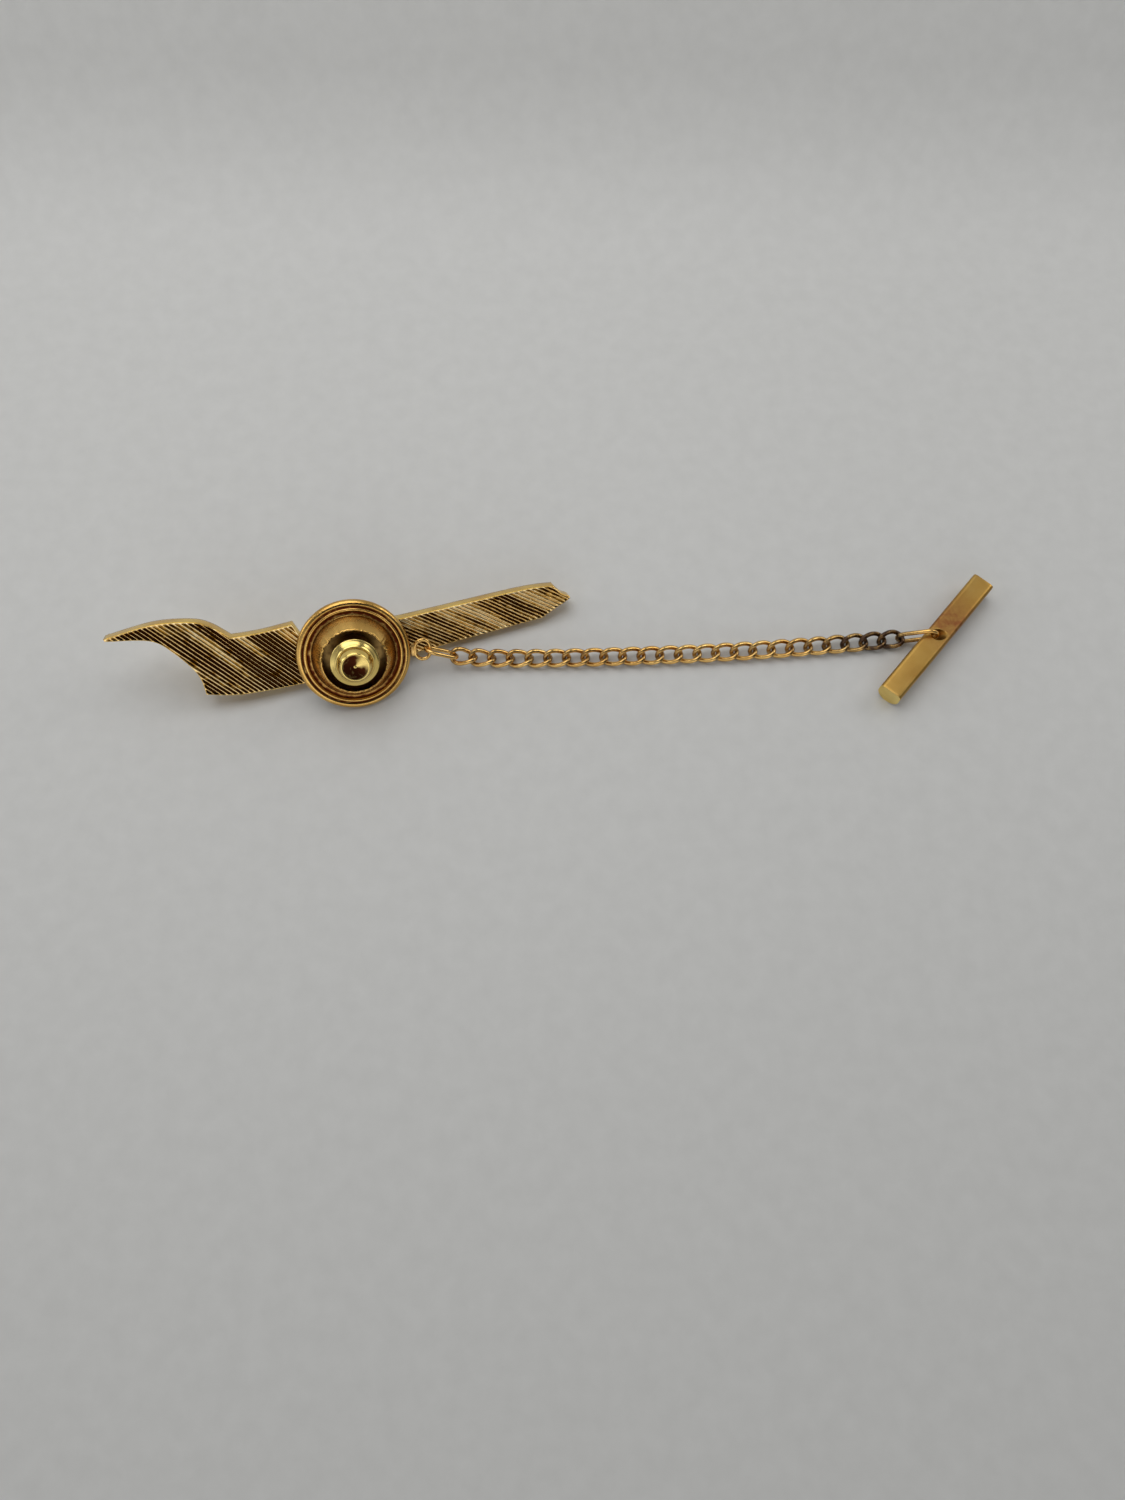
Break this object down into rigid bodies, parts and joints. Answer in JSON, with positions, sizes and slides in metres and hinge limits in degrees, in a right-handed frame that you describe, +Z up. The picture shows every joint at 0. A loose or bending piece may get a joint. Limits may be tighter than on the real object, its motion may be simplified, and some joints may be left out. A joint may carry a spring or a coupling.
{
  "type": "tie tack",
  "caption": "Gold-plated tie tack: long cast ornament with a post, round ball-lock clutch, short curb chain and T-bar.",
  "frame": {"origin": "on the table, below the middle of the whole piece as it lies", "axes": "+X from the ornament along the chain to the T-bar, +Y away from whoever looks at it, +Z up from the table"},
  "size_m": [0.0932, 0.015, 0.0086],
  "materials": {
    "gold_plate": "polished gold plate",
    "tarnished_gold": "gold plate over cast metal, dark in the grooves",
    "rose_gold_wire": "copper-toned gold-plated wire, dull brown near the bar",
    "satin_gold": "satin gold plate, a little tarnished",
    "steel": "plain spring and bearing steel",
    "brass": "bare stamped brass",
    "solder": "plated solder"
  },
  "bodies": {
    "ornament": {"Ornament_plate": "tarnished_gold", "Tack_post": "gold_plate", "Post_solder_ring": "solder"},
    "clutch_spring": {"Clutch_spring": "steel"},
    "clutch": {"Clutch_shell": "gold_plate", "Clutch_base_plate": "brass", "Spring_cup": "brass", "Ball_race": "steel", "Chain_eyelet": "rose_gold_wire"},
    "knob": {"Pull_knob": "gold_plate", "Ball_cage": "brass"},
    "lock_ball_1": {"Lock_ball_1": "steel"},
    "lock_ball_2": {"Lock_ball_2": "steel"},
    "lock_ball_3": {"Lock_ball_3": "steel"},
    "jump_ring": {"Jump_ring": "rose_gold_wire"},
    "link_01": {"Chain_link_01": "rose_gold_wire"},
    "link_02": {"Chain_link_02": "rose_gold_wire"},
    "link_03": {"Chain_link_03": "rose_gold_wire"},
    "link_04": {"Chain_link_04": "rose_gold_wire"},
    "link_05": {"Chain_link_05": "rose_gold_wire"},
    "link_06": {"Chain_link_06": "rose_gold_wire"},
    "link_07": {"Chain_link_07": "rose_gold_wire"},
    "link_08": {"Chain_link_08": "rose_gold_wire"},
    "link_09": {"Chain_link_09": "rose_gold_wire"},
    "link_10": {"Chain_link_10": "rose_gold_wire"},
    "link_11": {"Chain_link_11": "rose_gold_wire"},
    "link_12": {"Chain_link_12": "rose_gold_wire"},
    "link_13": {"Chain_link_13": "rose_gold_wire"},
    "link_14": {"Chain_link_14": "rose_gold_wire"},
    "link_15": {"Chain_link_15": "rose_gold_wire"},
    "link_16": {"Chain_link_16": "rose_gold_wire"},
    "link_17": {"Chain_link_17": "rose_gold_wire"},
    "link_18": {"Chain_link_18": "rose_gold_wire"},
    "link_19": {"Chain_link_19": "rose_gold_wire"},
    "link_20": {"Chain_link_20": "rose_gold_wire"},
    "link_21": {"Chain_link_21": "rose_gold_wire"},
    "link_22": {"Chain_link_22": "rose_gold_wire"},
    "link_23": {"Chain_link_23": "rose_gold_wire"},
    "link_24": {"Chain_link_24": "rose_gold_wire"},
    "end_ring": {"End_ring": "rose_gold_wire"},
    "t_bar": {"T_bar": "satin_gold"}
  },
  "joints": [
    {"name": "clutch_off_post", "type": "slide", "parent": "ornament", "child": "clutch_spring", "axis": [0.2079, -0.6758, 0.7071], "range_m": [0, 0.006]},
    {"name": "clutch_turn", "type": "hinge", "parent": "clutch_spring", "child": "clutch", "pos_m": [-0.02187, -0.0027, 0.00396], "axis": [0.2079, -0.6758, 0.7071], "continuous": true},
    {"name": "knob_pull", "type": "slide", "parent": "clutch", "child": "knob", "axis": [0.2079, -0.6758, 0.7071], "range_m": [0, 0.00035], "stiffness_N_per_m": 300, "springref_m": -0.002, "deforming": ["Clutch_spring"]},
    {"name": "lock_ball_1_out", "type": "slide", "parent": "knob", "child": "lock_ball_1", "axis": [0.7238, 0.5926, 0.3536], "range_m": [0, 0.00012]},
    {"name": "lock_ball_2_out", "type": "slide", "parent": "knob", "child": "lock_ball_2", "axis": [-0.9317, 0.0833, 0.3536], "range_m": [0, 0.00012]},
    {"name": "lock_ball_3_out", "type": "slide", "parent": "knob", "child": "lock_ball_3", "axis": [0.2079, -0.6758, -0.7071], "range_m": [0, 0.00012]},
    {"name": "jump_ring_swing", "type": "hinge", "parent": "clutch", "child": "jump_ring", "pos_m": [-0.0142, -0.0019, 0.00318], "axis": [-0.0047, 0.7222, 0.6917], "range_deg": [-15, 15]},
    {"name": "link_01_turn", "type": "hinge", "parent": "jump_ring", "child": "link_01", "pos_m": [-0.01165, -0.00183, 0.00132], "axis": [0, 0, 1], "range_deg": [-12, 12]},
    {"name": "link_02_turn", "type": "hinge", "parent": "link_01", "child": "link_02", "pos_m": [-0.00964, -0.00185, 0.00101], "axis": [0, -1, 0], "range_deg": [-12, 12]},
    {"name": "link_03_turn", "type": "hinge", "parent": "link_02", "child": "link_03", "pos_m": [-0.00765, -0.00187, 0.0008], "axis": [0, 0, 1], "range_deg": [-12, 12]},
    {"name": "link_04_turn", "type": "hinge", "parent": "link_03", "child": "link_04", "pos_m": [-0.00566, -0.00188, 0.00074], "axis": [0, -1, 0], "range_deg": [-12, 12]},
    {"name": "link_05_turn", "type": "hinge", "parent": "link_04", "child": "link_05", "pos_m": [-0.00366, -0.00188, 0.00073], "axis": [0, 0, 1], "range_deg": [-12, 12]},
    {"name": "link_06_turn", "type": "hinge", "parent": "link_05", "child": "link_06", "pos_m": [-0.00166, -0.00186, 0.00076], "axis": [0, -1, 0], "range_deg": [-12, 12]},
    {"name": "link_07_turn", "type": "hinge", "parent": "link_06", "child": "link_07", "pos_m": [0.00034, -0.00184, 0.00079], "axis": [0, 0, 1], "range_deg": [-12, 12]},
    {"name": "link_08_turn", "type": "hinge", "parent": "link_07", "child": "link_08", "pos_m": [0.00234, -0.0018, 0.00082], "axis": [0, -1, 0], "range_deg": [-12, 12]},
    {"name": "link_09_turn", "type": "hinge", "parent": "link_08", "child": "link_09", "pos_m": [0.00434, -0.00176, 0.00085], "axis": [0, 0, 1], "range_deg": [-12, 12]},
    {"name": "link_10_turn", "type": "hinge", "parent": "link_09", "child": "link_10", "pos_m": [0.00634, -0.0017, 0.00087], "axis": [0, -1, 0], "range_deg": [-12, 12]},
    {"name": "link_11_turn", "type": "hinge", "parent": "link_10", "child": "link_11", "pos_m": [0.00834, -0.00164, 0.00088], "axis": [0, 0, 1], "range_deg": [-12, 12]},
    {"name": "link_12_turn", "type": "hinge", "parent": "link_11", "child": "link_12", "pos_m": [0.01034, -0.00156, 0.00088], "axis": [0, -1, 0], "range_deg": [-12, 12]},
    {"name": "link_13_turn", "type": "hinge", "parent": "link_12", "child": "link_13", "pos_m": [0.01234, -0.00147, 0.00088], "axis": [0, 0, 1], "range_deg": [-12, 12]},
    {"name": "link_14_turn", "type": "hinge", "parent": "link_13", "child": "link_14", "pos_m": [0.01433, -0.00137, 0.00088], "axis": [0, -1, 0], "range_deg": [-12, 12]},
    {"name": "link_15_turn", "type": "hinge", "parent": "link_14", "child": "link_15", "pos_m": [0.01633, -0.00126, 0.00088], "axis": [0, 0, 1], "range_deg": [-12, 12]},
    {"name": "link_16_turn", "type": "hinge", "parent": "link_15", "child": "link_16", "pos_m": [0.01833, -0.00114, 0.00088], "axis": [0, -1, 0], "range_deg": [-12, 12]},
    {"name": "link_17_turn", "type": "hinge", "parent": "link_16", "child": "link_17", "pos_m": [0.02032, -0.00101, 0.00088], "axis": [0, 0, 1], "range_deg": [-12, 12]},
    {"name": "link_18_turn", "type": "hinge", "parent": "link_17", "child": "link_18", "pos_m": [0.02232, -0.00087, 0.00088], "axis": [0, -1, 0], "range_deg": [-12, 12]},
    {"name": "link_19_turn", "type": "hinge", "parent": "link_18", "child": "link_19", "pos_m": [0.02431, -0.00071, 0.00088], "axis": [0, 0, 1], "range_deg": [-12, 12]},
    {"name": "link_20_turn", "type": "hinge", "parent": "link_19", "child": "link_20", "pos_m": [0.02631, -0.00055, 0.00088], "axis": [0, -1, 0], "range_deg": [-12, 12]},
    {"name": "link_21_turn", "type": "hinge", "parent": "link_20", "child": "link_21", "pos_m": [0.0283, -0.00037, 0.00088], "axis": [0, 0, 1], "range_deg": [-12, 12]},
    {"name": "link_22_turn", "type": "hinge", "parent": "link_21", "child": "link_22", "pos_m": [0.03029, -0.00019, 0.00088], "axis": [0, -1, 0], "range_deg": [-12, 12]},
    {"name": "link_23_turn", "type": "hinge", "parent": "link_22", "child": "link_23", "pos_m": [0.03228, 0.00001, 0.00088], "axis": [0, 0, 1], "range_deg": [-12, 12]},
    {"name": "link_24_turn", "type": "hinge", "parent": "link_23", "child": "link_24", "pos_m": [0.03427, 0.00021, 0.00088], "axis": [0, -1, 0], "range_deg": [-12, 12]},
    {"name": "end_ring_turn", "type": "hinge", "parent": "link_24", "child": "end_ring", "pos_m": [0.03629, 0.00043, 0.00088], "axis": [0, 0, 1], "range_deg": [-12, 12]},
    {"name": "t_bar_turn", "type": "hinge", "parent": "end_ring", "child": "t_bar", "pos_m": [0.03937, 0.00017, 0.00171], "axis": [0.6413, -0.043, 0.766], "range_deg": [-20, 20]}
  ],
  "couplings": [
    {"joint": "lock_ball_1_out", "follows": "knob_pull", "ratio": 0.32},
    {"joint": "lock_ball_2_out", "follows": "knob_pull", "ratio": 0.32},
    {"joint": "lock_ball_3_out", "follows": "knob_pull", "ratio": 0.32}
  ]
}
